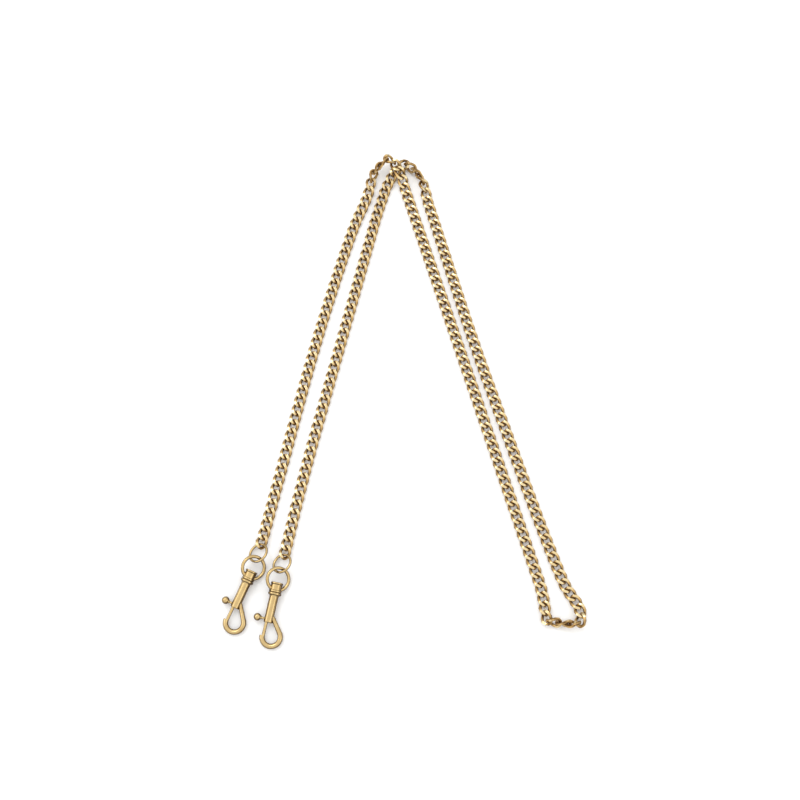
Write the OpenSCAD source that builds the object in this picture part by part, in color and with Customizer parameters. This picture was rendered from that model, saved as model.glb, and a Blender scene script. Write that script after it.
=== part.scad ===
// Long flat curb chain with a swivel bolt snap at each end, millimetres.
// It lies on a table, bent twice: a turn at the lower right and a crossing at the
// top, where the run of the first snap passes over the run of the second one.
// +X right, +Y from the snaps to the top bend, +Z up, table at z = 0.
// Every run is laid out from the middle link of the lower turn, link by link.

/* [What to draw] */
// Piece to draw, or all of them

/* [Chain] */
// Distance from one link to the next
pitch = 5.8; // [5.78:0.01:5.82]
// Width over a link
link_width = 7.6; // [7.6:0.05:7.8]
// Width of the wire of a link, seen from above
link_wire = 1.6; // [1.5:0.05:1.6]
// Play between two links along the chain
link_play = 0.65; // [0.6:0.01:0.7]
// Twist of each link end out of the flat
link_twist = 52; // [51:0.5:54]
// Thickness left between the two ground faces
link_thick = 3; // [2.9:0.05:3.1]

/* [Rings] */
// Centre-line radius of the jump ring
jump_radius = 5.75; // [5.6:0.05:5.9]
// Wire of the jump ring
jump_wire = 1.5; // [1.4:0.05:1.5]
// Centre-line radius of the swivel ring
eye_radius = 6.7; // [6.6:0.05:6.8]
// Wire of the swivel ring
eye_wire = 2; // [1.8:0.05:2]

/* [Snap] */
// Outer radius of the barrel
barrel_radius = 2.75; // [2.7:0.05:2.75]
// Radius of the collar under the swivel
collar_radius = 4; // [3.8:0.05:4]
// Radius of the drum of the swivel ring
drum_radius = 3.4; // [3.2:0.05:3.5]
// Wire of the hook at its bend
hook_wire = 3.2; // [3:0.05:3.2]
// Wire of the hook where it leaves the barrel
arm_wire = 2.5; // [2.4:0.05:2.6]
// Centre-line radius of the hook
hook_radius = 5.4; // [5.3:0.05:5.5]
// Radius of the sliding bolt
bolt_radius = 0.95; // [0.9:0.01:0.98]
// Radius of the thumb knob
knob_radius = 2.25; // [2.1:0.05:2.3]

/* [Colours] */
// Brass of the chain
brass = "#c9a25c";
// Brass of the rings and the snaps
snap_brass = "#d0a95f";
// Steel of the spring
steel = "#8d8f92";

/* [Hidden] */
// Middle link of the lower turn, before the part is centred on its origin
turn_at = [94.8, -137.2];
centre_at = [0.53, 10.47];
// Half length and half width of the centre line of a link
half_long = (pitch + link_play + link_wire) / 2;
half_wide = (link_width - link_wire) / 2;
// Fall of the sides, and half the height of the wire measured straight up
side_slope = atan(half_wide / half_long * tan(link_twist));
wire_rise = 0.82;
// Least height of the wire in the corners, below the middle
wire_sink = 0.6;
// How far a link pair slides off centre in a sharp corner
slide = half_long - pitch / 2;

// Rows of the layout: links, turn of each, slope, roll step, slide (-1, 0, 1).
// First the run of the first snap: up, over the crossing and down again.
over_rows = [
    [1, -6, 0, 30, 0], [1, -68, -10, 30, 1], [1, -8, -13, 30, 0],
    [1, 6, -2, 0, 0], [1, 5, 0, 0, 0], [1, 4, 0, 0, 0], [46, 0, 0, 0, 0],
    [1, 0, 4, 0, 0], [1, -1, 29, 0, 0], [1, 10, 26, 0, 0], [1, 8, 1, 0, 0], [1, 23, 4, 30, 0],
    [1, 72, -7, 30, -1], [1, 12, -18, 30, 0], [1, 18, -17, 30, 0],
    [1, 10, -6, 30, 0], [1, -4, -10.5, 30, 0], [1, -6, -2, 0, 0],
    [1, -2, 0, 0, 0], [1, 1, 0, 0, 0], [1, 2, 0, 0, 0], [2, 1.5, 0, 0, 0],
    [20, 0.2, 0, 0, 0], [14, 0, 0, 0, 0], [1, 0, 6, 0, 0], [1, 0, 12, 0, 0]
];
// Then the run of the second snap: up, under the crossing and down again.
under_rows = [
    [1, 12, 0, 30, 0], [1, 68, -10, 30, 1], [1, 28, -13, 30, 0],
    [1, 20, -2, 0, 0], [1, 2, 0, 0, 0], [1, -8, 0, 0, 0], [1, -6, 0, 0, 0],
    [10, -0.2, 0, 0, 0], [12, 0, 0, 0, 0], [10, -0.2, 0, 0, 0],
    [11, 0, 0, 0, 0], [1, 1, 0, 0, 0], [1, -2, 3, 0, 0], [1, -5, 11, 0, 0],
    [1, 6, 9, 30, 0], [1, 11, 3, 30, 0], [1, 12, -2, 30, 0],
    [1, 14, -2, 30, 0], [1, 67, -12, 30, 1], [1, 16, -10, 30, 0],
    [1, 18, -1.5, 0, 0], [1, 2, 0, 0, 0], [1, 7, 0, 0, 0], [1, 1, 0, 0, 0],
    [1, -1, 0, 0, 0], [2, 1.5, 0, 0, 0], [25, 0, 0, 0, 0],
    [12, 0.2, 0, 0, 0], [1, 0, 6, 0, 0], [1, 0, 12, 0, 0]
];
// The lowest corner of a tilted link, at the crossing, touches the table
rest_lift = 0.29;
turn_z = rest_lift + link_thick / 2 + pitch * (sin(10) + sin(13) + sin(2)) - slide * sin(10);
turn_place = [turn_at[0], turn_at[1], turn_z];

// Values of one column of the rows, one for each link
function column(rows, k) = [for (r = rows) for (i = [1:r[0]]) r[k]];
// Running sum, starting with the first value given
function running(first, v) =
    [for (i = 0, s = first; i <= len(v); s = i < len(v) ? s + v[i] : s, i = i + 1) s];
// Direction of a heading and a slope
function way(h, l) = [cos(l) * cos(h), cos(l) * sin(h), sin(l)];
// Place, heading, slope and roll of every link of a run
function lay(rows, heading) =
    let (
        h = running(heading, column(rows, 1)),
        l = concat([0], column(rows, 2)),
        r = running(90, column(rows, 3)),
        o = column(rows, 4),
        steps = [for (i = [0:len(o) - 1])
            (pitch / 2 + o[i] * slide) * way(h[i], l[i])
            + (pitch / 2 - o[i] * slide) * way(h[i + 1], l[i + 1])],
        p = running(turn_place, steps)
    )
    [for (i = [0:len(o)]) [p[i], h[i], l[i], r[i]]];
over = lay(over_rows, 174);
under = lay(under_rows, -6);

// Numbers of the first link of each stiff length of chain, a fresh list a run
over_cuts = [2, 7, 12, 17, 22, 27, 32, 37, 42, 47, 52, 55, 58, 61, 66, 71, 76, 81,
    86, 91, 96, 101, 105];
under_cuts = [2, 7, 12, 17, 22, 27, 32, 37, 42, 47, 51, 54, 58, 61, 66, 71, 76, 81,
    86, 91, 96, 101, 106];
over_count = len(over_cuts) - 1;
under_count = len(under_cuts) - 1;
function number(i) = str(i < 10 ? "0" : "", i);

// Where the rings and the snaps lie: headings, slopes and rolls by hand
ring_slope = 12;
ring_roll = 28;
ring_reach = 4.6;
eye_roll = -24;
snap_slope = -4.3;
eye_height = 5;
eye_from_barrel = 26.1;
// Heading of the snap, heading and distance from jump ring to swivel ring
first_snap = [246, 254, 9.4];
second_snap = [258, 258, 9.8];
function ring_place(run) =
    let (e = run[len(run) - 1])
    [e[0] + pitch / 2 * way(e[1], e[2]) + ring_reach * way(e[1], ring_slope), e[1]];
function eye_place(run, snap) =
    let (r = ring_place(run), c = r[0] + snap[2] * way(snap[1], 0))
    [c[0], c[1], eye_height];
function snap_place(run, snap) =
    eye_place(run, snap) + eye_from_barrel * way(snap[0], snap_slope);

// Half of space above a plane through the origin, turned by the given angles
module above(angles) {
    rotate(angles) translate([-20, -20, 0]) cube([40, 40, 20]);
}

// One curb link, centred, its ends along x, ground flat above and below. Its wire
// follows two slopes: the ends lean across, the sides fall along the chain.
module link() {
    difference() {
        linear_extrude(height = link_thick, center = true) difference() {
            stadium(half_wide + link_wire / 2);
            stadium(half_wide - link_wire / 2);
        }
        for (m = [0, 180]) for (n = [0, 180]) rotate([m, 0, 0]) rotate([0, 0, n])
            intersection() {
                translate([0, 0, wire_rise]) above([0, side_slope, 0]);
                translate([0, 0, wire_rise]) above([-link_twist, 0, 0]);
                translate([0, 0, -wire_sink]) above([0, 0, 0]);
            }
    }
}

// Long round of a link: two half circles joined by straight sides
module stadium(radius) {
    for (m = [-1, 1]) translate([m * (half_long - half_wide), 0]) circle(r = radius, $fn = 64);
    square([2 * (half_long - half_wide), 2 * radius], center = true);
}

module placed(at) {
    translate(at[0] - [centre_at[0], centre_at[1], 0]) rotate([at[3], -at[2], at[1]]) children();
}

// Links from one number up to the one before another
module links(run, from, to) {
    color(brass) for (i = [from:to - 1]) placed(run[i]) link();
}

module turn() {
    links(over, 0, 2);
    links(under, 1, 2);
}

module over_part(k) {
    links(over, over_cuts[k - 1], over_cuts[k]);
}

module under_part(k) {
    links(under, under_cuts[k - 1], under_cuts[k]);
}

// Plain wire ring with a fine split where it was closed
module jump_ring(run) {
    r = ring_place(run);
    color(snap_brass)
        translate(r[0] - [centre_at[0], centre_at[1], 0])
            rotate([ring_roll, -ring_slope, r[1]])
                difference() {
                    rotate_extrude($fn = 96)
                        translate([jump_radius, 0])
                            circle(r = jump_wire / 2, $fn = 32);
                    translate([0, jump_radius, 0])
                        cube([0.12, 3 * jump_wire, 3 * jump_wire], center = true);
                }
}

// Frame of a snap: x along the barrel to the hook, 0 at the open barrel end
module snap_frame(run, snap) {
    translate(snap_place(run, snap) - [centre_at[0], centre_at[1], 0])
        rotate([0, -snap_slope, snap[0]])
            children();
}

// Solid of revolution about x, its profile given as [x, radius]
module turned(points) {
    rotate([0, 90, 0])
        rotate_extrude($fn = 72)
            polygon([for (p = points) [p[1], p[0]]]);
}

module rod_x(from, to, radius) {
    translate([from, 0, 0])
        rotate([0, 90, 0])
            cylinder(h = to - from, r = radius, $fn = 48);
}

// Ring and drum of the swivel, cast as one piece, bored for the rivet
module swivel_ring() {
    color(snap_brass) rotate([eye_roll, 0, 0]) difference() {
        union() {
            translate([-eye_from_barrel, 0, 0])
                rotate_extrude($fn = 96)
                    translate([eye_radius, 0])
                        circle(r = eye_wire / 2, $fn = 32);
            turned([[-22.9, 0], [-22.9, drum_radius - 0.2], [-22.7, drum_radius],
                [-19.5, drum_radius], [-19.2, drum_radius + 0.4],
                [-18.4, drum_radius + 0.4], [-18.15, drum_radius + 0.15],
                [-18.15, 0]]);
        }
        rod_x(-26, -15, 1.3);
        translate([-25, 0, 0]) rod_x(0, 2.1, drum_radius - 0.8);
    }
}

// Rivet that holds the swivel: head inside the ring, shank fast in the barrel
module swivel_rivet() {
    color(snap_brass) turned([[-24.1, 0], [-24.1, 3.1], [-23.9, 3.7],
        [-23.2, 3.7], [-23, 3.5], [-23, 1.2], [-13.9, 1.2], [-13.9, 0]]);
}

// Barrel, collar and hook in one casting, with the bore and the knob slot
module snap_body() {
    hook_at = [7.9, 3.8];
    root = [-3.6, 2];
    reach = norm(hook_at - root);
    lean = atan2(hook_at[1] - root[1], hook_at[0] - root[0])
        + asin(hook_radius / reach);
    arm = sqrt(reach * reach - hook_radius * hook_radius);
    color(snap_brass) difference() {
        union() {
            turned([[-18, 0], [-18, collar_radius - 0.35], [-17.65, collar_radius],
                [-16.9, collar_radius], [-16.5, collar_radius - 0.35],
                [-16.2, barrel_radius + 0.25], [-15.6, barrel_radius],
                [-0.25, barrel_radius], [0, barrel_radius - 0.25], [0, 0]]);
            translate([root[0], root[1], 0])
                rotate([0, 90, lean])
                    cylinder(h = arm + 0.6, r1 = arm_wire / 2, r2 = hook_wire / 2 - 0.05, $fn = 48);
            translate([hook_at[0], hook_at[1], 0])
                rotate([0, 0, -90])
                    rotate_extrude(angle = 180 + lean, $fn = 96)
                        translate([hook_radius, 0])
                            circle(r = hook_wire / 2, $fn = 32);
        }
        translate([0, -1, 0]) rod_x(-13, 3, 1.15);
        rod_x(-20, -13.8, 1.25);
        translate([0, -1, 0]) rod_x(6.5, 8.7, 1.15);
        for (x = [-8.8, -2]) translate([x, -1, 0]) rotate([90, 0, 0])
            cylinder(h = 4, r = 0.85, $fn = 32);
        translate([-8.8, -5, -0.85]) cube([6.8, 4, 1.7]);
    }
}

// Sliding bolt with a blind cross hole for the knob
module bolt() {
    color(snap_brass) translate([0, -1, 0]) difference() {
        turned([[-4.5, 0], [-4.5, bolt_radius - 0.15], [-4.35, bolt_radius],
            [8.1, bolt_radius], [8.4, bolt_radius - 0.3], [8.4, 0]]);
        translate([-2, 0.4, 0]) rotate([90, 0, 0])
            cylinder(h = 3, r = 0.5, $fn = 32);
    }
}

// Ball knob on its neck, the thin end set into the bolt
module thumb_knob() {
    color(snap_brass) translate([-2, 0, 0]) rotate([90, 0, 0])
        rotate_extrude($fn = 64) {
            polygon([[0, 0.7], [0.45, 0.7], [0.45, 2], [0.7, 2], [0.7, 4.3],
                [1.1, 4.5], [1.1, 5.2], [0, 5.2]]);
            intersection() {
                translate([0, 6.9]) circle(r = knob_radius, $fn = 64);
                translate([0, 4]) square([4, 6]);
            }
        }
}

// Compression spring behind the bolt
module bolt_spring() {
    coils = 7;
    around = 12;
    wire = 0.14;
    mean = 0.82;
    from = -12.8;
    long = 8.1;
    count = coils * around;
    round = 6;
    ring = [for (i = [0:count]) for (j = [0:round - 1])
        let (a = 360 * i / around, b = 360 * j / round, q = mean + wire * cos(b))
        [from + wire + (long - 2 * wire) * i / count + wire * sin(b), q * cos(a), q * sin(a)]];
    sides = [for (i = [0:count - 1]) for (j = [0:round - 1])
        let (k = (j + 1) % round)
        [i * round + j, i * round + k, (i + 1) * round + k, (i + 1) * round + j]];
    near = [for (j = [round - 1:-1:0]) j];
    far = [for (j = [0:round - 1]) count * round + j];
    color(steel) translate([0, -1, 0])
        polyhedron(points = ring, faces = concat(sides, [near], [far]));
}

for (k = [1:over_count])
    over_part(k);
for (k = [1:under_count])
    under_part(k);
turn();
jump_ring(over);  // first_jump_ring
jump_ring(under);  // second_jump_ring
snap_frame(over, first_snap) swivel_ring();  // first_swivel_ring
snap_frame(under, second_snap) swivel_ring();  // second_swivel_ring
snap_frame(over, first_snap) swivel_rivet();  // first_swivel_rivet
snap_frame(under, second_snap) swivel_rivet();  // second_swivel_rivet
snap_frame(over, first_snap) snap_body();  // first_snap_body
snap_frame(under, second_snap) snap_body();  // second_snap_body
snap_frame(over, first_snap) bolt();  // first_bolt
snap_frame(under, second_snap) bolt();  // second_bolt
snap_frame(over, first_snap) thumb_knob();  // first_thumb_knob
snap_frame(under, second_snap) thumb_knob();  // second_thumb_knob
snap_frame(over, first_snap) bolt_spring();  // first_bolt_spring
snap_frame(under, second_snap) bolt_spring();  // second_bolt_spring
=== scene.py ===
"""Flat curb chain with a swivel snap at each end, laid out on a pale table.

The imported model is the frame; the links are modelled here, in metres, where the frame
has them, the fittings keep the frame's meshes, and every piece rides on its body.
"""

import logging
import math
import random
from dataclasses import dataclass, field
from enum import Enum
from typing import Any, Iterable

import bpy
from mathutils import Matrix, Vector

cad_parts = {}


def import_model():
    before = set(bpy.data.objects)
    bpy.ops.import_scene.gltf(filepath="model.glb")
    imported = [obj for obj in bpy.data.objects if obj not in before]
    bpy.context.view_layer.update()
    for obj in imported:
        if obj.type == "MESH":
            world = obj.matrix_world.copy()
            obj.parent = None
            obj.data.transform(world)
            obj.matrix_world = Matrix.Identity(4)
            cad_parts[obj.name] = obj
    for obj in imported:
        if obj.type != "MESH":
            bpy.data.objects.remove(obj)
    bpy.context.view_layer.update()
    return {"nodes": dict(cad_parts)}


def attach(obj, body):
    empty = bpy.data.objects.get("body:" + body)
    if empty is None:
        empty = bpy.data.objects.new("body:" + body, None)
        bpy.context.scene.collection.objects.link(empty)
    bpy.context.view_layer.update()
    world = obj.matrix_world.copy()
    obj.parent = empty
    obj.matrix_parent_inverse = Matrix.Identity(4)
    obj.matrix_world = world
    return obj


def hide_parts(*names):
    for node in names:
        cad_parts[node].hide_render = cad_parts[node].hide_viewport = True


MM = 0.001
log = logging.getLogger("chain")


class Run(Enum):
    """The two runs of chain, counted from the lower turn."""

    OVER = "over"
    UNDER = "under"


class Socket:
    """One shader output, so that sums on it add the Math nodes they need."""

    def __init__(self, shop: "Shader", output: Any) -> None:
        """Keeps the shader that the output belongs to."""
        self.shop = shop
        self.output = output

    def _math(self, kind: str, *values: Any) -> "Socket":
        """One Math node of a kind, with its values or links."""
        return self.shop.node("ShaderNodeMath", {"operation": kind}, dict(enumerate(values)))

    def __add__(self, other: Any) -> "Socket":
        """Sum."""
        return self._math("ADD", self, other)

    __radd__ = __add__

    def __sub__(self, other: Any) -> "Socket":
        """Difference."""
        return self._math("SUBTRACT", self, other)

    def __rsub__(self, other: Any) -> "Socket":
        """Difference, the other way round."""
        return self._math("SUBTRACT", other, self)

    def __mul__(self, other: Any) -> "Socket":
        """Product."""
        return self._math("MULTIPLY", self, other)

    def clamped(self) -> "Socket":
        """The value held between 0 and 1."""
        held = self._math("ADD", self, 0.0)
        held.output.node.use_clamp = True
        return held


class Shader:
    """A material under construction."""

    def __init__(self, name: str) -> None:
        """Starts a material that holds one Principled surface."""
        self.material = bpy.data.materials.new(name)
        self.material.use_nodes = True
        self.tree = self.material.node_tree
        self.surface = self.tree.nodes["Principled BSDF"]

    def node(self, kind: str, settings: dict[str, Any], values: dict[Any, Any],
             out: Any = 0) -> Socket:
        """Adds any node.

        Args:
            kind: the node's type.
            settings: its settings, set before anything is linked.
            values: numbers or links for its inputs, by name or place.
            out: the output to hand back.

        Returns:
            The chosen output.
        """
        made = self.tree.nodes.new(kind)
        for key, value in settings.items():
            setattr(made, key, value)
        for key, value in values.items():
            if isinstance(value, Socket):
                self.tree.links.new(value.output, made.inputs[key])
            else:
                made.inputs[key].default_value = value
        return Socket(self, made.outputs[out])

    def mix(self, amount: Any, first: Any, second: Any) -> Socket:
        """Blends two colours, the second by the amount."""
        return self.node("ShaderNodeMix", {"data_type": "RGBA"},
                         {0: amount, 6: first, 7: second}, out=2)

    def noise(self, scale: float, detail: float = 3.0, stretch: Any = None) -> Socket:
        """Noise on the piece's own coordinates.

        Args:
            scale: how fine it is, per metre.
            detail: how many octaves it has.
            stretch: scale along each axis, or None for an even one.

        Returns:
            The noise value, 0 to 1.
        """
        place = self.node("ShaderNodeTexCoord", {}, {}, out="Object")
        if stretch:
            place = self.node("ShaderNodeMapping", {}, {"Vector": place, "Scale": stretch})
        return self.node("ShaderNodeTexNoise", {},
                         {"Vector": place, "Scale": scale, "Detail": detail})

    def steepness(self) -> Socket:
        """How far the surface turns from lying flat, 0 flat to 1 upright."""
        facing = self.node("ShaderNodeTexCoord", {}, {}, out="Normal")
        height = self.node("ShaderNodeSeparateXYZ", {}, {0: facing}, out=2)
        return 1.0 - height * height

    def attribute(self, name: str) -> Socket:
        """A number stored on the piece's mesh."""
        return self.node("ShaderNodeAttribute", {"attribute_name": name}, {}, out="Fac")

    def bump(self, height: Socket, depth: float) -> None:
        """Gives the surface relief of a depth in metres."""
        relief = self.node("ShaderNodeBump", {}, {"Height": height, "Distance": depth,
                                                  "Strength": 1.0})
        self.feed("Normal", relief)

    def feed(self, name: str, value: Any) -> None:
        """Sets or links one input of the surface."""
        if isinstance(value, Socket):
            self.tree.links.new(value.output, self.surface.inputs[name])
        else:
            self.surface.inputs[name].default_value = value


@dataclass(frozen=True)
class ChainBrass:
    """Antique gold on the links: bright ground faces, and painted shade that darkens the
    wires towards each link's middle plane.
    """

    bright: tuple[float, ...] = (0.73, 0.60, 0.35, 1)
    worn: tuple[float, ...] = (0.56, 0.375, 0.155, 1)
    painted_shade_brown: tuple[float, ...] = (0.12, 0.052, 0.014, 1)

    def material(self) -> bpy.types.Material:
        """The finish as a material that reads the link's own numbers."""
        s = Shader("chain brass")
        ground = s.attribute("ground")
        height = s.attribute("height")
        tint = s.attribute("tint")
        cloud = s.noise(420.0, 4.0)
        fine = s.noise(5200.0, 2.0)
        # Painted shade: the wires darken from worn gold to deep umber the nearer a point
        # lies to the link's middle plane, where links cross.
        painted_shade_side = s.mix((height * 1.7 - 0.42 + cloud * 0.5).clamped(), self.painted_shade_brown, self.worn)
        face = s.mix((tint * 0.35 + cloud * 0.5 - 0.15).clamped(), self.bright, self.worn)
        s.feed("Base Color", s.mix(ground, painted_shade_side, face))
        s.feed("Metallic", 1.0)
        s.feed("Roughness", 0.36 - ground * 0.2 + cloud * 0.12)
        s.bump(fine + cloud * 2, 0.000006)
        return s.material


@dataclass(frozen=True)
class FittingBrass:
    """Polished antique gold on the rings and snaps, with painted shade darkening their steep
    sides.
    """

    name: str = "snap brass"
    bright: tuple[float, ...] = (0.58, 0.43, 0.21, 1)
    worn: tuple[float, ...] = (0.42, 0.28, 0.11, 1)
    painted_shade_brown: tuple[float, ...] = (0.085, 0.04, 0.012, 1)
    rough: float = 0.19

    def material(self) -> bpy.types.Material:
        """The finish as a material on the piece's own coordinates."""
        s = Shader(self.name)
        cloud = s.noise(160.0, 5.0)
        spots = s.noise(900.0, 3.0)
        scratch = s.noise(1500.0, 2.0, (1.0, 0.06, 0.3))
        # Painted shade: the steeper the surface, the further its colour turns to deep umber,
        # for dark edges on the fittings.
        painted_shade_side = (s.steepness() * 2.4 - 1.2 + cloud * 0.3).clamped()
        face = s.mix((cloud * 1.6 - 0.62 + spots * 0.3).clamped(), self.bright, self.worn)
        s.feed("Base Color", s.mix(painted_shade_side, face, self.painted_shade_brown))
        s.feed("Metallic", 1.0)
        s.feed("Roughness", self.rough + cloud * 0.08 + painted_shade_side * 0.1)
        s.bump(scratch + spots, 0.0000018)
        return s.material


@dataclass(frozen=True)
class SpringSteel:
    """Drawn steel wire with a thin film of oil."""

    grey: tuple[float, ...] = (0.42, 0.42, 0.43, 1)
    dark: tuple[float, ...] = (0.2, 0.18, 0.16, 1)

    def material(self) -> bpy.types.Material:
        """The finish as a material."""
        s = Shader("spring steel")
        cloud = s.noise(1400.0, 3.0)
        s.feed("Base Color", s.mix((cloud * 1.4 - 0.4).clamped(), self.grey, self.dark))
        s.feed("Metallic", 1.0)
        s.feed("Roughness", 0.26 + cloud * 0.16)
        s.bump(cloud, 0.000004)
        return s.material


@dataclass(frozen=True)
class TableWhite:
    """Pale matt table top."""

    pale: tuple[float, ...] = (0.93, 0.93, 0.925, 1)
    cream: tuple[float, ...] = (0.9, 0.9, 0.895, 1)

    def material(self) -> bpy.types.Material:
        """The finish as a material."""
        s = Shader("table white")
        cloud = s.noise(3.0, 2.0)
        s.feed("Base Color", s.mix(cloud, self.pale, self.cream))
        s.feed("Roughness", 0.85 + cloud * 0.1)
        return s.material


def clear_selection() -> None:
    """Leaves nothing selected, in object mode."""
    if bpy.context.object and bpy.context.object.mode != "OBJECT":
        bpy.ops.object.mode_set(mode="OBJECT")
    bpy.ops.object.select_all(action="DESELECT")


def only(piece: bpy.types.Object) -> None:
    """Selects one piece and makes it the active one."""
    clear_selection()
    piece.select_set(True)
    bpy.context.view_layer.objects.active = piece


def dress(piece: bpy.types.Object, material: bpy.types.Material) -> None:
    """Gives a piece one material all over."""
    piece.data.materials.clear()
    piece.data.materials.append(material)


def way(heading: float, slope: float) -> Vector:
    """Unit direction of a heading and a slope in degrees."""
    h, s = math.radians(heading), math.radians(slope)
    return Vector((math.cos(s) * math.cos(h), math.cos(s) * math.sin(h), math.sin(s)))


@dataclass
class Place:
    """Where one link lies: centre in millimetres, angles in degrees."""

    at: Vector
    heading: float
    slope: float
    roll: float

    def matrix(self) -> Matrix:
        """The place as a matrix in metres."""
        turn = (Matrix.Rotation(math.radians(self.heading), 4, "Z")
                @ Matrix.Rotation(math.radians(-self.slope), 4, "Y")
                @ Matrix.Rotation(math.radians(self.roll), 4, "X"))
        return Matrix.Translation(self.at * MM) @ turn


@dataclass
class Layout:
    """The lie of the chain, link by link, from the middle of the lower turn.

    Each row has a number of links, the turn of each, its slope, its roll step and
    the direction in which the pair is pulled in a sharp corner. The fourteen rows of each
    run at the crossing, after the 46 and after the 11 straight links, hold values that
    were solved for clearance and rounded; the other rows are given.
    """

    pitch: float = 5.8
    half_long: float = 4.025
    half_thick: float = 1.5
    lift: float = 0.29
    turn_at: tuple[float, float] = (94.27, -147.67)
    over_rows: tuple[tuple[float, ...], ...] = (
        (1, -6, 0, 30, 0), (1, -68, -10, 30, 1), (1, -8, -13, 30, 0), (1, 6, -2, 0, 0),
        (1, 5, 0, 0, 0), (1, 4, 0, 0, 0), (46, 0, 0, 0, 0), (1, 0, 4, 0, 0),
        (1, -1, 29, 0, 0), (1, 10, 26, 0, 0), (1, 8, 1, 0, 0), (1, 23, 4, 30, 0),
        (1, 72, -7, 30, -1), (1, 12, -18, 30, 0), (1, 18, -17, 30, 0),
        (1, 10, -6, 30, 0), (1, -4, -10.5, 30, 0), (1, -6, -2, 0, 0),
        (1, -2, 0, 0, 0), (1, 1, 0, 0, 0), (1, 2, 0, 0, 0), (2, 1.5, 0, 0, 0),
        (20, 0.2, 0, 0, 0), (14, 0, 0, 0, 0), (1, 0, 6, 0, 0), (1, 0, 12, 0, 0))
    under_rows: tuple[tuple[float, ...], ...] = (
        (1, 12, 0, 30, 0), (1, 68, -10, 30, 1), (1, 28, -13, 30, 0), (1, 20, -2, 0, 0),
        (1, 2, 0, 0, 0), (1, -8, 0, 0, 0), (1, -6, 0, 0, 0), (10, -0.2, 0, 0, 0),
        (12, 0, 0, 0, 0), (10, -0.2, 0, 0, 0), (11, 0, 0, 0, 0), (1, 1, 0, 0, 0),
        (1, -2, 3, 0, 0), (1, -5, 11, 0, 0), (1, 6, 9, 30, 0), (1, 11, 3, 30, 0),
        (1, 12, -2, 30, 0), (1, 14, -2, 30, 0), (1, 67, -12, 30, 1),
        (1, 16, -10, 30, 0), (1, 18, -1.5, 0, 0), (1, 2, 0, 0, 0), (1, 7, 0, 0, 0),
        (1, 1, 0, 0, 0), (1, -1, 0, 0, 0), (2, 1.5, 0, 0, 0), (25, 0, 0, 0, 0),
        (12, 0.2, 0, 0, 0), (1, 0, 6, 0, 0), (1, 0, 12, 0, 0))

    def places(self, run: Run) -> list[Place]:
        """Every link of a run.

        Args:
            run: which of the two runs.

        Returns:
            The places, the middle link of the turn first.
        """
        rows = self.over_rows if run is Run.OVER else self.under_rows
        heading = 174.0 if run is Run.OVER else -6.0
        slide = self.half_long - self.pitch / 2
        rise = sum(math.sin(math.radians(a)) for a in (10, 13, 2))
        height = (self.lift + self.half_thick + self.pitch * rise
                  - slide * math.sin(math.radians(10)))
        spot = Place(Vector((*self.turn_at, height)), heading, 0.0, 90.0)
        found = [spot]
        for count, turn, slope, roll, pull in rows:
            for _ in range(int(count)):
                new = Place(spot.at, spot.heading + turn, slope, spot.roll + roll)
                new.at = (spot.at
                          + (self.pitch / 2 + pull * slide) * way(spot.heading, spot.slope)
                          + (self.pitch / 2 - pull * slide) * way(new.heading, new.slope))
                found.append(new)
                spot = new
        return found


@dataclass
class CurbLink:
    """One link: a wire ring stretched, twisted and ground flat on both faces."""

    half_long: float = 4.025 * MM
    half_wide: float = 2.8 * MM
    wire: float = 1.0 * MM
    twist: float = 46.0
    half_thick: float = 1.5 * MM
    around: int = 16
    sides: int = 6
    smooth_below: float = 55.0

    def model(self) -> bpy.types.Object:
        """Shapes the link at the origin, its length along X.

        Returns:
            The finished link, to be copied.
        """
        clear_selection()
        bpy.ops.mesh.primitive_torus_add(
            major_segments=self.around, minor_segments=self.sides,
            major_radius=self.half_wide, minor_radius=self.wire)
        link = bpy.context.object
        link.name = "link pattern"
        self._stretch(link)
        bend = link.modifiers.new("twist", "SIMPLE_DEFORM")
        bend.deform_method = "TWIST"
        bend.deform_axis = "X"
        long = (self.half_long + self.wire) / self.half_long
        bend.angle = -2 * math.radians(self.twist) * long
        bpy.ops.object.modifier_apply(modifier=bend.name)
        self._grind(link)
        bpy.ops.object.shade_smooth_by_angle(angle=math.radians(self.smooth_below))
        self._number(link.data)
        return link

    def _stretch(self, link: bpy.types.Object) -> None:
        """Draws the two ends of the ring apart to the link's length."""
        reach = self.half_long - self.half_wide
        for sign in (1, -1):
            bpy.ops.object.mode_set(mode="EDIT")
            bpy.ops.mesh.select_mode(type="VERT")
            bpy.ops.mesh.select_all(action="DESELECT")
            bpy.ops.object.mode_set(mode="OBJECT")
            for v in link.data.vertices:
                v.select = v.co.x * sign > 0.01 * MM
            bpy.ops.object.mode_set(mode="EDIT")
            bpy.ops.transform.translate(value=(sign * reach, 0, 0))
            bpy.ops.object.mode_set(mode="OBJECT")

    def _grind(self, link: bpy.types.Object) -> None:
        """Cuts both faces flat and closes the cuts."""
        for sign in (1, -1):
            bpy.ops.object.mode_set(mode="EDIT")
            bpy.ops.mesh.select_all(action="SELECT")
            bpy.ops.mesh.bisect(plane_co=(0, 0, sign * self.half_thick),
                                plane_no=(0, 0, sign), use_fill=True, clear_outer=True,
                                threshold=1e-7)
            bpy.ops.object.mode_set(mode="OBJECT")

    def _number(self, mesh: bpy.types.Mesh) -> None:
        """Stores which faces are ground and how high each point lies."""
        ground = mesh.attributes.new("ground", "FLOAT", "FACE")
        for face in mesh.polygons:
            level = abs(abs(face.center.z) - self.half_thick) < 0.02 * MM
            ground.data[face.index].value = float(level and abs(face.normal.z) > 0.95)
        # This height from the middle plane is the mask of the painted shade in the chain's
        # colour.
        height = mesh.attributes.new("height", "FLOAT", "POINT")
        for v in mesh.vertices:
            height.data[v.index].value = abs(v.co.z) / self.half_thick


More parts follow.
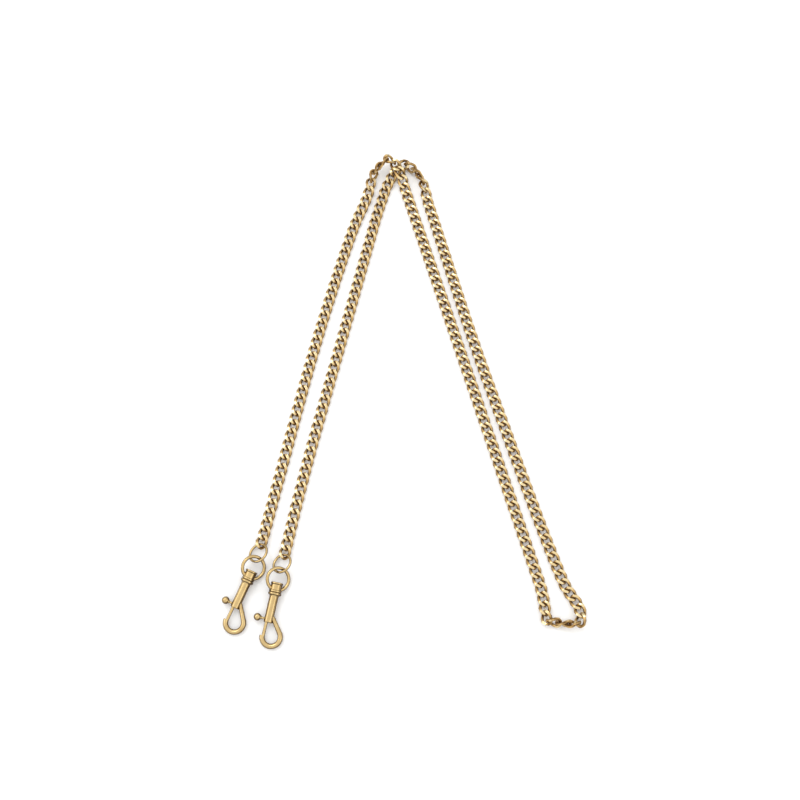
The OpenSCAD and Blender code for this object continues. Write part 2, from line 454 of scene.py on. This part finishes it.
@dataclass
class Chain:
    """Both runs of links, one piece for each stiff length of the frame."""

    link: CurbLink = field(default_factory=CurbLink)
    layout: Layout = field(default_factory=Layout)
    finish: ChainBrass = field(default_factory=ChainBrass)
    over_cuts: tuple[int, ...] = (2, 7, 12, 17, 22, 27, 32, 37, 42, 47, 52, 55, 58, 61,
                                  66, 71, 76, 81, 86, 91, 96, 101, 105)
    under_cuts: tuple[int, ...] = (2, 7, 12, 17, 22, 27, 32, 37, 42, 47, 51, 54, 58, 61,
                                   66, 71, 76, 81, 86, 91, 96, 101, 106)

    def build(self) -> None:
        """Lays every length of chain and lets it ride on its body."""
        pattern = self.link.model()
        brass = self.finish.material()
        dress(pattern, brass)
        luck = random.Random(11)
        over = self.layout.places(Run.OVER)
        under = self.layout.places(Run.UNDER)
        self._length(pattern, "turn", over[:2] + under[1:2], luck)
        for run, places, cuts in ((Run.OVER, over, self.over_cuts),
                                  (Run.UNDER, under, self.under_cuts)):
            for k, (first, last) in enumerate(zip(cuts, cuts[1:]), start=1):
                self._length(pattern, f"{run.value}_{k:02d}", places[first:last], luck)
        bpy.data.objects.remove(pattern)

    def _length(self, pattern: bpy.types.Object, body: str, places: Iterable[Place],
                luck: random.Random) -> None:
        """Makes one length of chain from copies of the link.

        Args:
            pattern: the link to copy.
            body: the body and the node that the length stands for.
            places: where its links lie.
            luck: seeded chance for the shade of each link.
        """
        copies = []
        for place in places:
            copy = pattern.copy()
            copy.data = pattern.data.copy()
            bpy.context.scene.collection.objects.link(copy)
            copy.data.transform(place.matrix())
            tint = copy.data.attributes.new("tint", "FLOAT", "FACE")
            shade = luck.random()
            tint.data.foreach_set("value", [shade] * len(copy.data.polygons))
            copies.append(copy)
        only(copies[0])
        for copy in copies:
            copy.select_set(True)
        bpy.ops.object.join()
        piece = bpy.context.object
        piece.name = piece.data.name = f"links_{body}"
        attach(piece, body)
        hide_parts(body)
        log.info("%s: %d links", piece.name, len(copies))


@dataclass
class Fittings:
    """Rings, swivels, snaps, bolts, knobs and springs at both ends."""

    finish: FittingBrass = field(default_factory=FittingBrass)
    steel: SpringSteel = field(default_factory=SpringSteel)

    def dress(self, nodes: dict[str, bpy.types.Object]) -> None:
        """Gives every fitting of the frame its finish.

        Args:
            nodes: the nodes of the frame, by name.
        """
        brass = self.finish.material()
        steel = self.steel.material()
        for name, node in nodes.items():
            if name.startswith(("first", "second")):
                dress(node, steel if name.endswith("spring") else brass)
                log.info("%s dressed", name)


@dataclass(frozen=True)
class Lamp:
    """One soft square light: place and size in metres, power in watts."""

    name: str
    place: tuple[float, float, float]
    size: float
    power: float


@dataclass
class Studio:
    """Table, soft lights and camera."""

    eye: tuple[float, ...] = (-0.0025, -0.2518, 0.75289)
    look: tuple[float, ...] = (-0.0025, -0.0073, 0.00029)
    lens: float = 56.56
    sensor: float = 36.0
    near: float = 0.01
    table_size: float = 6.0
    table_drop: float = 0.05 * MM
    lamps: tuple[Lamp, ...] = (Lamp("top light", (-0.45, 0.5, 1.2), 0.5, 3.2),
                               Lamp("left light", (-1.3, 0.1, 0.8), 0.9, 2.5),
                               Lamp("right light", (1.2, -0.5, 0.9), 0.7, 1.4))
    sky_height: tuple[float, float] = (0.05, 0.5)
    sky_strength: tuple[float, float] = (0.3, 1.32)
    finish: TableWhite = field(default_factory=TableWhite)

    def build(self) -> None:
        """Makes the table, the lights and the camera."""
        clear_selection()
        bpy.ops.mesh.primitive_plane_add(size=self.table_size, location=(0, 0, 0))
        table = bpy.context.object
        table.name = "table"
        table.data.transform(Matrix.Translation((0, 0, -self.table_drop)))
        dress(table, self.finish.material())
        for lamp in self.lamps:
            self._light(lamp)
        self._sky()
        self._camera()
        bpy.context.scene.view_settings.view_transform = "Standard"

    def _light(self, lamp: Lamp) -> None:
        """Hangs one light so that it faces the table."""
        light = bpy.data.lights.new(lamp.name, "AREA")
        light.size = lamp.size
        light.energy = lamp.power
        holder = bpy.data.objects.new(lamp.name, light)
        holder.location = lamp.place
        holder.rotation_euler = (-Vector(lamp.place)).to_track_quat("-Z", "Y").to_euler()
        bpy.context.scene.collection.objects.link(holder)

    def _sky(self) -> None:
        """Fills the room with light from above that fades towards the horizon."""
        world = bpy.data.worlds.new("room")
        bpy.context.scene.world = world
        world.use_nodes = True
        tree = world.node_tree
        back = tree.nodes["Background"]
        back.inputs["Color"].default_value = (1, 1, 1, 1)
        place = tree.nodes.new("ShaderNodeTexCoord")
        parts = tree.nodes.new("ShaderNodeSeparateXYZ")
        fade = tree.nodes.new("ShaderNodeMapRange")
        for key, value in zip(("From Min", "From Max", "To Min", "To Max"),
                              (*self.sky_height, *self.sky_strength)):
            fade.inputs[key].default_value = value
        tree.links.new(place.outputs["Generated"], parts.inputs[0])
        tree.links.new(parts.outputs["Z"], fade.inputs["Value"])
        tree.links.new(fade.outputs["Result"], back.inputs["Strength"])

    def _camera(self) -> None:
        """Sets the camera above and in front of the snaps."""
        lens = bpy.data.cameras.new("camera")
        lens.lens = self.lens
        lens.sensor_width = self.sensor
        lens.clip_start = self.near
        camera = bpy.data.objects.new("camera", lens)
        camera.location = self.eye
        aim = Vector(self.look) - Vector(self.eye)
        camera.rotation_euler = aim.to_track_quat("-Z", "Y").to_euler()
        bpy.context.scene.collection.objects.link(camera)
        bpy.context.scene.camera = camera


def main() -> None:
    """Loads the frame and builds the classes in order."""
    logging.basicConfig(level=logging.INFO, format="%(name)s: %(message)s")
    bpy.context.view_layer.update()
    for name in ("Cube", "Light", "Camera"):
        if name in bpy.data.objects:
            bpy.data.objects.remove(bpy.data.objects[name])
    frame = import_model()
    Studio().build()
    Chain().build()
    Fittings().dress(frame["nodes"])
    log.info("boxes written")


if __name__ == "__main__":
    main()
